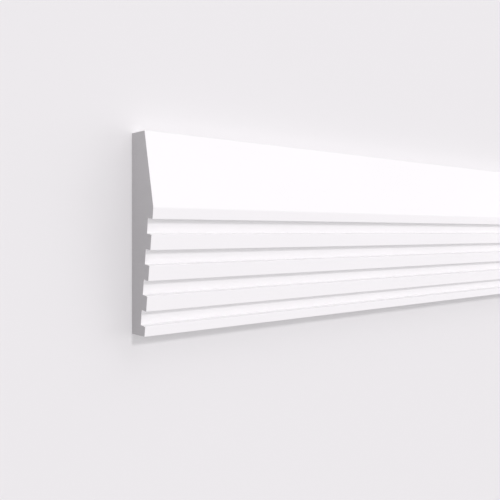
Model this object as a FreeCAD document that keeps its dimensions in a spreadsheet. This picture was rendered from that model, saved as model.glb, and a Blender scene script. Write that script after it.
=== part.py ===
import FreeCAD, Part

import os

import Sketcher

# A wall panel moulding: one cast length of stock with a plain flat back and square sawn ends.
# Seen on the wall, its plain upper face slopes out to a ridge, and its lower face slopes back from
# the ridge to the bottom edge, with square grooves run along it, cut square to that sloped face.
# It is stored lying on its back: X runs along the length, Y from the bottom edge to the top edge,
# and Z out of the back. The origin is the middle of the back face. Sizes are in millimetres.

doc = FreeCAD.newDocument("PanelMoulding")

# Driving sizes

driving_sizes = {
    "stock_length": 2000.0,       # one piece as sold
    "face_height": 100.0,         # bottom edge to top edge
    "ridge_height": 62.5,         # bottom edge to ridge
    "ridge_depth": 20.0,          # back to ridge
    "top_edge_depth": 12.0,       # width of the square top edge
    "bottom_edge_depth": 12.0,    # width of the square bottom edge
    "groove_count": 4,
    "groove_width": 7.4,
    "groove_depth": 4.1,          # square to the sloped lower face
    "upper_margin": 5.65,         # plain land from the ridge to the first groove, along the slope
    "lower_margin": 4.95,         # plain land from the last groove to the bottom edge, along the slope
    "arris_radius": 0.2,          # eased corners of the lands and of the front edges
    "root_radius": 0.2,           # inner corners of the grooves
    "ridge_radius": 2.5,          # softened line where the two faces meet
}

sizes = doc.addObject("Spreadsheet::Sheet", "sizes")
for row, (alias, value) in enumerate(driving_sizes.items(), start=1):
    sizes.set(f"A{row}", alias.replace("_", " "))
    sizes.set(f"B{row}", str(value))
    sizes.setAlias(f"B{row}", alias)
doc.recompute()

# Body and sketching helpers

body = doc.addObject("PartDesign::Body", "panel_moulding")
body.Label = "panel_moulding"
section_plane = next(plane for plane in body.Origin.OriginFeatures if plane.Role == "YZ_Plane")

START = 1
END = 2
ORIGIN = (-1, 1)
ALONG_AXIS = -1


def section_sketch(name, corners):
    """Draw a closed outline across the length, one line from each corner to the next."""
    sketch = body.newObject("Sketcher::SketchObject", name)
    sketch.AttachmentSupport = [(section_plane, "")]
    sketch.MapMode = "FlatFace"
    points = [FreeCAD.Vector(across, out, 0) for across, out in corners]
    for first, second in zip(points, points[1:] + points[:1]):
        sketch.addGeometry(Part.LineSegment(first, second))
    for line in range(len(points)):
        following = (line + 1) % len(points)
        sketch.addConstraint(Sketcher.Constraint("Coincident", line, END, following, START))
    return sketch


def dimension(sketch, alias, kind, *where):
    """Give the sketch a dimension that follows the driving size of that name."""
    index = sketch.addConstraint(Sketcher.Constraint(kind, *where, driving_sizes[alias]))
    sketch.renameConstraint(index, alias)
    sketch.setExpression(f"Constraints.{alias}", f"sizes.{alias}")


# Blank: the outer section, carried along the whole length

bottom_y = -driving_sizes["face_height"] / 2
top_y = driving_sizes["face_height"] / 2
section = section_sketch("section", (
    (bottom_y, 0),
    (bottom_y, driving_sizes["bottom_edge_depth"]),
    (bottom_y + driving_sizes["ridge_height"], driving_sizes["ridge_depth"]),
    (top_y, driving_sizes["top_edge_depth"]),
    (top_y, 0),
))
BOTTOM_EDGE, LOWER_FACE, UPPER_FACE, TOP_EDGE, BACK = range(5)

section.addConstraint(Sketcher.Constraint("Vertical", BOTTOM_EDGE))
section.addConstraint(Sketcher.Constraint("Vertical", TOP_EDGE))
section.addConstraint(Sketcher.Constraint("Horizontal", BACK))
section.addConstraint(Sketcher.Constraint("Symmetric", BACK, START, BACK, END, *ORIGIN))
dimension(section, "face_height", "DistanceX", BACK, END, BACK, START)
dimension(section, "bottom_edge_depth", "DistanceY", BOTTOM_EDGE, START, BOTTOM_EDGE, END)
dimension(section, "top_edge_depth", "DistanceY", TOP_EDGE, END, TOP_EDGE, START)
dimension(section, "ridge_height", "DistanceX", LOWER_FACE, START, LOWER_FACE, END)
dimension(section, "ridge_depth", "DistanceY", BACK, END, UPPER_FACE, START)

blank = body.newObject("PartDesign::Pad", "blank")
blank.Profile = section
blank.SideType = "Symmetric"
blank.setExpression("Length", "sizes.stock_length")
doc.recompute()

# Grooves: the lowest one is cut along the blank, then repeated up the lower face to the ridge

groove_start = driving_sizes["lower_margin"]
groove_end = groove_start + driving_sizes["groove_width"]
groove_section = section_sketch("groove_section", (
    (groove_start, -driving_sizes["groove_depth"]),
    (groove_end, -driving_sizes["groove_depth"]),
    (groove_end, driving_sizes["groove_depth"]),
    (groove_start, driving_sizes["groove_depth"]),
))
FLOOR, UPPER_WALL, MOUTH, LOWER_WALL = range(4)

# The groove is drawn from the front bottom corner, along the slope of the lower face.
groove_section.setExpression("AttachmentOffset.Base.x", "-sizes.face_height / 2")
groove_section.setExpression("AttachmentOffset.Base.y", "sizes.bottom_edge_depth")
groove_section.setExpression(
    "AttachmentOffset.Rotation.Angle",
    "atan((sizes.ridge_depth - sizes.bottom_edge_depth) / sizes.ridge_height)",
)
groove_section.addConstraint(Sketcher.Constraint("Horizontal", FLOOR))
groove_section.addConstraint(Sketcher.Constraint("Horizontal", MOUTH))
groove_section.addConstraint(Sketcher.Constraint("Vertical", UPPER_WALL))
groove_section.addConstraint(
    Sketcher.Constraint("Symmetric", LOWER_WALL, START, LOWER_WALL, END, ALONG_AXIS)
)
dimension(groove_section, "lower_margin", "DistanceX", *ORIGIN, FLOOR, START)
dimension(groove_section, "groove_width", "DistanceX", FLOOR, START, FLOOR, END)
dimension(groove_section, "groove_depth", "DistanceY", FLOOR, START, *ORIGIN)

groove = body.newObject("PartDesign::Pocket", "groove")
groove.Profile = groove_section
groove.Type = "ThroughAll"
groove.SideType = "Symmetric"
doc.recompute()

grooves = body.newObject("PartDesign::LinearPattern", "grooves")
grooves.Originals = [groove]
grooves.Direction = (groove_section, ["H_Axis"])
grooves.Mode = "Extent"
grooves.setExpression(
    "Length",
    "hypot(sizes.ridge_height; sizes.ridge_depth - sizes.bottom_edge_depth)"
    " - sizes.upper_margin - sizes.lower_margin - sizes.groove_width",
)
grooves.setExpression("Occurrences", "sizes.groove_count")
body.Tip = grooves
doc.recompute()

one_groove = driving_sizes["groove_width"] * driving_sizes["groove_depth"] * driving_sizes["stock_length"]
cut_away = blank.Shape.Volume - grooves.Shape.Volume
print(f"grooves cut {cut_away:.0f} mm3, and one groove is {one_groove:.0f} mm3")

# Eased edges: only those that run along the length, because the ends are sawn square

TOUCH = 0.001


def is_ridge(point):
    return abs(point.z - sizes.ridge_depth) < TOUCH


def height_over_lower_face(point):
    return groove_section.Placement.inverse().multVec(point).y


def is_front_arris(point):
    on_lower_face = abs(height_over_lower_face(point)) < TOUCH
    on_top_edge = abs(point.y - sizes.face_height / 2) < TOUCH and point.z > TOUCH
    return (on_lower_face or on_top_edge) and not is_ridge(point)


def is_groove_root(point):
    return abs(height_over_lower_face(point) + sizes.groove_depth) < TOUCH


def ease_edges(name, radius, accepts):
    """Round each lengthwise edge of the body, as it stands, whose middle the test accepts."""
    base = body.Tip
    chosen = []
    for number, edge in enumerate(base.Shape.Edges, start=1):
        runs_along = abs(edge.BoundBox.XLength - edge.Length) < TOUCH
        if runs_along and accepts(edge.CenterOfMass):
            chosen.append(f"Edge{number}")
    fillet = body.newObject("PartDesign::Fillet", name)
    fillet.Base = (base, chosen)
    fillet.setExpression("Radius", f"sizes.{radius}")
    body.Tip = fillet
    doc.recompute()


ease_edges("arrises", "arris_radius", is_front_arris)
ease_edges("groove_roots", "root_radius", is_groove_root)
ease_edges("ridge", "ridge_radius", is_ridge)

# Checks and files

for item in doc.Objects:
    if {"Invalid", "Error"} & set(item.State):
        raise RuntimeError(f"{item.Label} failed: {item.State}")
if body.Shape.isNull() or not body.Shape.isValid() or len(body.Shape.Solids) != 1:
    raise RuntimeError("the moulding is not one valid solid")
if cut_away < one_groove:
    raise RuntimeError("the grooves cut nothing")

os.makedirs("parts", exist_ok=True)
body.Shape.exportStep(f"parts/{body.Label}.step")
print(f"{body.Label}: {body.Shape.Volume:.0f} mm3, {body.Shape.BoundBox}")
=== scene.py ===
import bpy
import numpy as np
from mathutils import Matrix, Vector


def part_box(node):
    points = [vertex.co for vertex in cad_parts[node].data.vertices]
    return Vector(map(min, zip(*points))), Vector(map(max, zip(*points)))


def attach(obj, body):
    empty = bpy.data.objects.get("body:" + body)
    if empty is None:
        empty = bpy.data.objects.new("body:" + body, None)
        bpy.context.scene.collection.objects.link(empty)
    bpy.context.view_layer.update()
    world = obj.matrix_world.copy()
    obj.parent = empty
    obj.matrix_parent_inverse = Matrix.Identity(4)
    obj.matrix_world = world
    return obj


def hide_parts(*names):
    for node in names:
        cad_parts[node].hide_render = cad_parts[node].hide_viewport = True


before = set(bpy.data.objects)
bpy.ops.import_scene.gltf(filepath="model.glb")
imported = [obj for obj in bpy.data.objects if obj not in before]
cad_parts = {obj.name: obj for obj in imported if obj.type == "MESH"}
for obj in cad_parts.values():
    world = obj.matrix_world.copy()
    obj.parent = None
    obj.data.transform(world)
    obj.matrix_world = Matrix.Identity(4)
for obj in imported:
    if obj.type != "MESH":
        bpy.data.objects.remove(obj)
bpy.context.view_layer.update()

# Panel moulding
# A straight length of wall trim, cast in rigid foam as one piece and sprayed with a matt white primer
# on its face and edges. It lies on its flat sanded back. Its two ends are sawn square after the
# spraying, so that the ends and the back show the bare grey foam.

low, high = (np.array(corner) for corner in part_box("panel_moulding"))
bottom_y, top_y = low[1], high[1]
ridge_height = 0.0625        # bottom edge to ridge, in metres as every size here
ridge_depth = 0.020          # back to ridge
edge_depth = 0.012           # width of the square top and bottom edges
groove_count = 4
groove_width = 0.0074
groove_depth = 0.0041        # square to the sloped lower face
upper_margin = 0.00565       # plain land from the ridge to the first groove, along the slope
lower_margin = 0.00495       # plain land from the last groove to the bottom edge, along the slope
arris_radius = 0.0002        # eased corners of the lands and of the front edges
root_radius = 0.0002         # inner corners of the grooves
ridge_radius = 0.0025        # softened line where the two faces meet
back_radius = 0.00015        # long edges of the back
sawn_radius = 0.0001         # edges all round the sawn ends, below every radius above
corner_steps = 6             # straight steps round each corner of the section
sawn_steps = 3               # rings along each eased sawn edge
station_gap = 0.050          # from ring to ring along the length
map_margin = 0.004           # round each patch of the flat map, as a share of its side


def moulding_corners():
    """The section's corners in order, as rows of (y, z, radius).

    They run from the back up the bottom edge, up the sloped lower face, over the ridge, down the
    upper face and the top edge. A groove adds four corners: its mouth and floor are steps along
    the slope, and its walls are steps straight into the slope.
    """
    foot = np.array([bottom_y, edge_depth])
    ridge = np.array([bottom_y + ridge_height, ridge_depth])
    face_length = np.linalg.norm(ridge - foot)
    slope = (ridge - foot) / face_length
    inward = np.array([slope[1], -slope[0]])
    pitch = (face_length - upper_margin - lower_margin - groove_width) / (groove_count - 1)
    starts = lower_margin + pitch * np.arange(groove_count)
    along = (starts[:, None] + groove_width * np.array([0, 0, 1, 1])).ravel()
    into = np.tile(groove_depth * np.array([0, 1, 1, 0]), groove_count)
    groove_points = foot + along[:, None] * slope + into[:, None] * inward
    groove_radii = np.tile([arris_radius, root_radius, root_radius, arris_radius], groove_count)
    return np.vstack([
        [bottom_y, 0, back_radius],
        [*foot, arris_radius],
        np.column_stack([groove_points, groove_radii]),
        [*ridge, ridge_radius],
        [top_y, edge_depth, arris_radius],
        [top_y, 0, back_radius],
    ])


def rounded_outline(corners):
    """Points and outward normals round a closed outline whose corners are arcs.

    A corner that turns the outline by an angle is an arc of its radius. It starts one radius times
    the tangent of half that angle before the corner, and its points turn evenly about its centre.
    """
    points, radii = corners[:, :2], corners[:, 2]
    ahead = np.roll(points, -1, axis=0) - points
    ahead /= np.linalg.norm(ahead, axis=1)[:, None]
    behind = np.roll(ahead, 1, axis=0)
    cross = behind[:, 0] * ahead[:, 1] - behind[:, 1] * ahead[:, 0]
    turn = np.arctan2(cross, (behind * ahead).sum(axis=1))
    start = points - behind * (radii * np.tan(np.abs(turn) / 2))[:, None]
    outward = np.column_stack([-behind[:, 1], behind[:, 0]])
    centre = start + outward * (radii * np.sign(turn))[:, None]
    angle = turn[:, None] * np.linspace(0, 1, corner_steps + 1)
    normals = np.stack([
        outward[:, :1] * np.cos(angle) - outward[:, 1:] * np.sin(angle),
        outward[:, :1] * np.sin(angle) + outward[:, 1:] * np.cos(angle),
    ], axis=-1)
    arcs = centre[:, None] - normals * (radii * np.sign(turn))[:, None, None]
    return arcs.reshape(-1, 2), normals.reshape(-1, 2)


def moulding_surface():
    """The outline carried along X from one sawn end to the other, as grids of points and normals.

    Over one sawn radius from an end an angle goes from 0 to a quarter turn. The outline moves along
    by the radius times one minus the angle's cosine, and is drawn in by the radius times one minus
    its sine, which eases the sawn edge all round. One ring always stands at mid length.
    """
    outline, outward = rounded_outline(moulding_corners())
    quarter = np.linspace(0, np.pi / 2, sawn_steps + 1)
    near = low[0] + sawn_radius * (1 - np.cos(quarter))
    far = high[0] - sawn_radius * (1 - np.cos(quarter[::-1]))
    gaps_per_half = int(round((far[0] - near[-1]) / (2 * station_gap)))
    middle = np.linspace(near[-1], far[0], 2 * gaps_per_half + 1)[1:-1]
    x = np.concatenate([near, middle, far])
    lean = np.concatenate([quarter, np.full(len(middle), np.pi / 2), quarter[::-1]])
    facing = np.where(np.arange(len(x)) < len(x) / 2, -1, 1)
    drawn_in = sawn_radius * (1 - np.sin(lean))
    across = outline[None] - outward[None] * drawn_in[:, None, None]
    points = np.concatenate([np.broadcast_to(x[:, None, None], (*across.shape[:2], 1)), across], axis=2)
    end_normal = np.broadcast_to((facing * np.cos(lean))[:, None, None], (*across.shape[:2], 1))
    normals = np.concatenate([end_normal, outward[None] * np.sin(lean)[:, None, None]], axis=2)
    return points, normals


def swept_mesh(name, points, normals):
    """A closed mesh of a grid of points, whose faces point outwards.

    Each row of the grid is a ring, joined to the next, and both ends are capped.
    """
    rings, around = points.shape[:2]
    index = np.arange(rings * around).reshape(rings, around)
    following = np.roll(index, -1, axis=1)
    quads = np.stack([index[:-1], index[1:], following[1:], following[:-1]], axis=-1).reshape(-1, 4)
    caps = [index[0].tolist(), index[-1, ::-1].tolist()]
    mesh = bpy.data.meshes.new(name)
    mesh.from_pydata(points.reshape(-1, 3), [], quads.tolist() + caps)
    mesh.polygons.foreach_set("use_smooth", np.ones(len(mesh.polygons), dtype=bool))
    mesh.normals_split_custom_set_from_vertices(normals.reshape(-1, 3))
    return mesh


def flat_map(points):
    """Where the corners of every face lie on a flat map that runs from 0 to 1 both ways.

    The two ends lie one over the other at the foot of the map and fill its width. The sides lie
    over them, unrolled by the distance round the outline, in two bands that meet at mid length.
    In each band the back, which is the last face round, is set off from the rest by a margin.
    """
    x = points[:, 0, 0]
    half_count = len(x) // 2
    half_length = (high[0] - low[0]) / 2
    ring = points[half_count, :, 1:]
    inner_width = 1 - 2 * map_margin

    end_scale = inner_width / (top_y - bottom_y)
    end_height = end_scale * high[2]
    ends = map_margin + end_scale * (points[[0, -1], :, 1:] - [bottom_y, 0])
    ends[1, :, 1] += end_height + map_margin

    sides_foot = 2 * end_height + 3 * map_margin
    band_height = (1 - sides_foot) / 2
    band = np.arange(len(x) - 1) // half_count
    near = map_margin + inner_width * ((x[:-1] - low[0]) / half_length - band)
    far = map_margin + inner_width * ((x[1:] - low[0]) / half_length - band)
    steps = np.linalg.norm(np.roll(ring, -1, axis=0) - ring, axis=1)
    around = np.append(0, np.cumsum(steps)) * (band_height - 2 * map_margin) / steps.sum()
    set_off = np.where(np.arange(len(ring)) == len(ring) - 1, map_margin, 0)
    first, second = around[:-1] + set_off, around[1:] + set_off
    across = np.stack([near, far, far, near], axis=-1)[:, None]
    band_foot = sides_foot + band_height * band
    up = np.stack([first, first, second, second], axis=-1) + band_foot[:, None, None]
    sides = np.stack(np.broadcast_arrays(across, up), axis=-1).reshape(-1, 2)
    return np.vstack([sides, ends[0], ends[1, ::-1]])


surface_points, surface_normals = moulding_surface()
moulding_mesh = swept_mesh("moulding", surface_points, surface_normals)

# The finishes are laid on a flat map of this name, and the sawn ends need a large share of it.
bake_map = moulding_mesh.uv_layers.new(name="OFBake")
bake_map.uv.foreach_set("vector", flat_map(surface_points).astype(np.float32).ravel())
moulding = bpy.data.objects.new("moulding", moulding_mesh)
bpy.context.scene.collection.objects.link(moulding)
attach(moulding, "root")
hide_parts("panel_moulding")

primer_thin = (0.872, 0.872, 0.872)
primer_full = (0.888, 0.888, 0.888)
primer_drift_size = 0.14
primer_grain_size = 0.0013
primer_stipple_height = 0.000010
primer_roughness = (0.45, 0.55)
primer_specular = 0.4
foam_dark = (0.449, 0.444, 0.449)
foam_pale = (0.541, 0.535, 0.541)
foam_drift_size = 0.03
foam_grain_size = 0.0009
foam_cell_size = 0.00035
foam_cell_depth = 0.00005
foam_roughness = (0.82, 0.95)
foam_specular = 0.2
saw_axle = (0.03, 0.15)      # Y and Z of the blade's axle
saw_line_pitch = 0.0009
saw_line_depth = 0.00001
saw_line_waver = 3.0         # how far the lines stray from true arcs, in radians of the wave
saw_waver_detail = 2.0
saw_waver_scale = 0.4        # scale of the straying, against the wave's own
sanding_line_length = 0.25
sanding_line_width = 0.0008
sanding_line_depth = 0.00002
sanding_line_detail = 2.0


def fill_sockets(tree, node, values):
    """Give a node's sockets their values. A value that is another node's output is linked instead."""
    for socket, value in values.items():
        if isinstance(value, bpy.types.NodeSocket):
            tree.links.new(value, node.inputs[socket])
        else:
            node.inputs[socket].default_value = value


def add_node(tree, kind, values, **settings):
    """A new shader node, with its settings made and its sockets filled."""
    node = tree.nodes.new(kind)
    for name, setting in settings.items():
        setattr(node, name, setting)
    fill_sockets(tree, node, values)
    return node


def new_group(name, inputs, outputs):
    """An empty shader node group with named sockets, and what comes in by its inputs."""
    group = bpy.data.node_groups.new(name, "ShaderNodeTree")
    for socket, kind in inputs.items():
        group.interface.new_socket(socket, in_out="INPUT", socket_type=kind)
    for socket in outputs:
        group.interface.new_socket(socket, in_out="OUTPUT", socket_type="NodeSocketFloat")
    return group, group.nodes.new("NodeGroupInput").outputs


def count_per_metre(tree, size):
    """How many lumps of that size go into one metre, which is the scale of their texture."""
    return add_node(tree, "ShaderNodeMath", {0: 1.0, 1: size}, operation="DIVIDE").outputs[0]


def noise_mask(tree, coordinate, size, detail):
    """Noise whose lumps are about that size, spread so that it reaches from 0 to 1."""
    usual_low, usual_high = 0.3, 0.7
    noise = add_node(tree, "ShaderNodeTexNoise", {
        "Vector": coordinate, "Scale": count_per_metre(tree, size), "Detail": detail,
    })
    spread = add_node(tree, "ShaderNodeMapRange", {
        "Value": noise.outputs["Fac"], "From Min": usual_low, "From Max": usual_high,
    })
    return spread.outputs["Result"]


def uneven_finish_group():
    """Slow drift over a surface and fine grain in it, each a noise from 0 to 1 at its own real size."""
    drift_detail, grain_detail = 2.0, 1.0
    group, given = new_group("uneven_finish", {
        "Coordinate": "NodeSocketVector",
        "Drift Size": "NodeSocketFloat",
        "Grain Size": "NodeSocketFloat",
    }, ("Drift", "Grain"))
    add_node(group, "NodeGroupOutput", {
        "Drift": noise_mask(group, given["Coordinate"], given["Drift Size"], drift_detail),
        "Grain": noise_mask(group, given["Coordinate"], given["Grain Size"], grain_detail),
    })
    return group


def foam_cells_group():
    """Cut foam cells: distance from the nearest cell's centre, 0 in its pit and 1 at its walls."""
    pit_distance, wall_distance = 0.15, 0.6
    group, given = new_group("foam_cells", {
        "Coordinate": "NodeSocketVector",
        "Cell Size": "NodeSocketFloat",
    }, ("Walls",))
    cells = add_node(group, "ShaderNodeTexVoronoi", {
        "Vector": given["Coordinate"], "Scale": count_per_metre(group, given["Cell Size"]),
    })
    walls = add_node(group, "ShaderNodeMapRange", {
        "Value": cells.outputs["Distance"], "From Min": pit_distance, "From Max": wall_distance,
    })
    add_node(group, "NodeGroupOutput", {"Walls": walls.outputs["Result"]})
    return group


def colour_between(tree, mask, first, second):
    """A colour that goes from the first to the second as the mask goes from 0 to 1."""
    ramp = add_node(tree, "ShaderNodeValToRGB", {"Fac": mask})
    ramp.color_ramp.elements[0].color = (*first, 1)
    ramp.color_ramp.elements[1].color = (*second, 1)
    return ramp.outputs["Color"]


def value_between(tree, mask, limits):
    """A value that goes from the first limit to the second as the mask goes from 0 to 1."""
    spread = add_node(tree, "ShaderNodeMapRange", {
        "Value": mask, "To Min": limits[0], "To Max": limits[1],
    })
    return spread.outputs["Result"]


def mean_of(tree, *masks):
    """The mean of some masks, in which one that is given twice counts twice."""
    total = masks[0]
    for mask in masks[1:]:
        total = add_node(tree, "ShaderNodeMath", {0: total, 1: mask}, operation="ADD").outputs[0]
    return add_node(tree, "ShaderNodeMath", {0: total, 1: len(masks)}, operation="DIVIDE").outputs[0]


def raised(tree, mask, height, below=None):
    """The normal of a surface that stands that much higher where the mask is 1, over one below it."""
    values = {"Height": mask, "Distance": height, "Strength": 1.0}
    if below is not None:
        values["Normal"] = below
    return add_node(tree, "ShaderNodeBump", values).outputs["Normal"]


def new_material(name):
    """An empty material, with its node tree, its shader and the coordinates of the object itself."""
    material = bpy.data.materials.new(name)
    material.use_nodes = True
    tree = material.node_tree
    coordinate = add_node(tree, "ShaderNodeTexCoord", {}).outputs["Object"]
    return material, tree, tree.nodes["Principled BSDF"], coordinate


uneven_finish = uneven_finish_group()
foam_cells = foam_cells_group()


def white_primer_material():
    """Matt sprayed primer: a little thinner here and there, with the fine stipple of the spray."""
    material, tree, shader, coordinate = new_material("matt_primer")
    finish = add_node(tree, "ShaderNodeGroup", {
        "Coordinate": coordinate, "Drift Size": primer_drift_size, "Grain Size": primer_grain_size,
    }, node_tree=uneven_finish).outputs
    fill_sockets(tree, shader, {
        "Base Color": colour_between(tree, finish["Drift"], primer_thin, primer_full),
        "Roughness": value_between(tree, finish["Grain"], primer_roughness),
        "Normal": raised(tree, finish["Grain"], primer_stipple_height),
        "Specular IOR Level": primer_specular,
    })
    return material


def bare_foam_material(name, line_mask, line_depth):
    """Cut foam: open cells, the lines that the tool left over them, and a slow drift in tone.

    A painted shade also makes the foam darker towards the bottom edge, standing in for light that
    falls from above. That counts twice in the tone.
    """
    material, tree, shader, coordinate = new_material(name)
    finish = add_node(tree, "ShaderNodeGroup", {
        "Coordinate": coordinate, "Drift Size": foam_drift_size, "Grain Size": foam_grain_size,
    }, node_tree=uneven_finish).outputs
    walls = add_node(tree, "ShaderNodeGroup", {
        "Coordinate": coordinate, "Cell Size": foam_cell_size,
    }, node_tree=foam_cells).outputs["Walls"]
    lines = line_mask(tree, coordinate)
    # Painted shade: the tone darkens towards the bottom edge, in place of light falling from above.
    height = add_node(tree, "ShaderNodeSeparateXYZ", {"Vector": coordinate}).outputs["Y"]
    painted_shade_by_height = add_node(tree, "ShaderNodeMapRange", {
        "Value": height, "From Min": bottom_y, "From Max": top_y,
    }).outputs["Result"]
    tone = mean_of(tree, finish["Drift"], walls, lines, painted_shade_by_height, painted_shade_by_height)
    fill_sockets(tree, shader, {
        "Base Color": colour_between(tree, tone, foam_dark, foam_pale),
        "Roughness": value_between(tree, finish["Grain"], foam_roughness),
        "Normal": raised(tree, walls, foam_cell_depth, raised(tree, lines, line_depth)),
        "Specular IOR Level": foam_specular,
    })
    return material


def saw_lines(tree, coordinate):
    """Arcs that the blade left: waves of the distance from the blade's axle, which stood over the face.

    A wave texture turns through 20 radians over each unit of its scale.
    """
    waves_per_scale = 20 / (2 * np.pi)
    about_axle = add_node(tree, "ShaderNodeMapping", {
        "Vector": coordinate, "Location": (0, -saw_axle[0], -saw_axle[1]), "Scale": (0, 1, 1),
    })
    wave = add_node(tree, "ShaderNodeTexWave", {
        "Vector": about_axle.outputs["Vector"],
        "Scale": 1 / (waves_per_scale * saw_line_pitch),
        "Distortion": saw_line_waver,
        "Detail": saw_waver_detail,
        "Detail Scale": saw_waver_scale,
    }, wave_type="RINGS", rings_direction="SPHERICAL")
    return wave.outputs["Fac"]


def sanding_lines(tree, coordinate):
    """Lines that the sanding belt left along the length: noise drawn out along X.

    The coordinates are divided by the lines' length and width, so the noise has lumps of size 1.
    """
    lump_size = 1.0
    drawn_out = add_node(tree, "ShaderNodeMapping", {
        "Vector": coordinate,
        "Scale": (1 / sanding_line_length, 1 / sanding_line_width, 1 / sanding_line_width),
    })
    return noise_mask(tree, drawn_out.outputs["Vector"], lump_size, sanding_line_detail)


# Only the back, the last face round, is sanded foam, and only the two caps are sawn foam.
PRIMER, SAWN, SANDED = range(3)
moulding_mesh.materials.append(white_primer_material())
moulding_mesh.materials.append(bare_foam_material("sawn_foam", saw_lines, saw_line_depth))
moulding_mesh.materials.append(bare_foam_material("sanded_foam", sanding_lines, sanding_line_depth))
ring_count, around_count = surface_points.shape[:2]
material_of_side = np.full((ring_count - 1, around_count), PRIMER)
material_of_side[:, -1] = SANDED
material_of_face = np.append(material_of_side.ravel(), [SAWN, SAWN]).astype(np.int32)
moulding_mesh.polygons.foreach_set("material_index", material_of_face)

# Floor
# A plain pale studio floor that the moulding lies on, wide enough to fill the picture. It is painted
# in a tone a little below the primer's, with no gloss, so that the white moulding stands out on it.

floor_half = 60.0
floor_shade = (0.775, 0.775, 0.775)
floor_light = (0.785, 0.785, 0.785)
floor_drift_size = 0.8
floor_specular = 0.0
floor_mesh = bpy.data.meshes.new("floor")
floor_corners = floor_half * np.array([[-1, -1, 0], [1, -1, 0], [1, 1, 0], [-1, 1, 0]])
floor_mesh.from_pydata(floor_corners, [], [[0, 1, 2, 3]])
floor = bpy.data.objects.new("floor", floor_mesh)
bpy.context.scene.collection.objects.link(floor)


def floor_paint_material():
    """Pale paint without gloss, and with a slow drift in tone."""
    material, tree, shader, coordinate = new_material("floor_paint")
    finish = add_node(tree, "ShaderNodeGroup", {
        "Coordinate": coordinate, "Drift Size": floor_drift_size,
    }, node_tree=uneven_finish).outputs
    fill_sockets(tree, shader, {
        "Base Color": colour_between(tree, finish["Drift"], floor_shade, floor_light),
        "Specular IOR Level": floor_specular,
    })
    return material


floor_mesh.materials.append(floor_paint_material())

# Studio light
# A dim even room, whose backdrop carries on in the floor's tone, and four soft lamps. One broad
# lamp stands to the left of the near end, one low at the upper right and one low past the far end.
# A small lamp over the top edge draws the shade in the grooves.

studio_tint = (1.0, 0.972, 1.0)
room_strength = 0.44
backdrop_strength = 0.843
lamp_settings = {
    # strength, breadth, tilt from straight above, bearing from +X towards +Y, with angles in degrees
    "left_lamp": (0.90, 50, 35, 180),
    "right_lamp": (0.75, 50, 65, 60),
    "far_lamp": (0.48, 36, 62, 0),
    "groove_lamp": (0.82, 8, 25.3, 90),
}
room = bpy.data.worlds.new("room")
room.use_nodes = True
seen_directly = add_node(room.node_tree, "ShaderNodeLightPath", {}).outputs["Is Camera Ray"]
fill_sockets(room.node_tree, room.node_tree.nodes["Background"], {
    "Color": (*studio_tint, 1),
    "Strength": value_between(room.node_tree, seen_directly, (room_strength, backdrop_strength)),
})
bpy.context.scene.world = room

for lamp_name, (strength, breadth, tilt, bearing) in lamp_settings.items():
    lamp_data = bpy.data.lights.new(lamp_name, "SUN")
    lamp_data.energy = strength
    lamp_data.color = studio_tint
    lamp_data.angle = np.radians(breadth)
    lamp = bpy.data.objects.new(lamp_name, lamp_data)
    lamp.rotation_euler = (0, np.radians(tilt), np.radians(bearing))
    bpy.context.scene.collection.objects.link(lamp)

# Camera
# It looks down past the near sawn end and along the face, square to the moulding's height, so
# that upright edges stay upright in the picture.

lens_length = 46.30          # millimetres, as the sensor's width is
sensor_width = 36.0
picture_shift = -0.0352      # upwards, as a share of the picture's width
nearest_seen = 0.01
camera_before_end = 0.16272
camera_past_middle = 0.00058 # from mid height towards the top edge
camera_over_floor = 0.28197
camera_lean = 40.39          # degrees from straight down, towards the far end
camera_data = bpy.data.cameras.new("camera")
camera_data.sensor_width = sensor_width
camera_data.lens = lens_length
camera_data.shift_y = picture_shift
camera_data.clip_start = nearest_seen
camera = bpy.data.objects.new("camera", camera_data)
camera.location = (low[0] - camera_before_end, camera_past_middle, camera_over_floor)
camera.rotation_euler = (0, -np.radians(camera_lean), 0)
bpy.context.scene.collection.objects.link(camera)
bpy.context.scene.camera = camera
bpy.context.scene.view_settings.view_transform = "Standard"
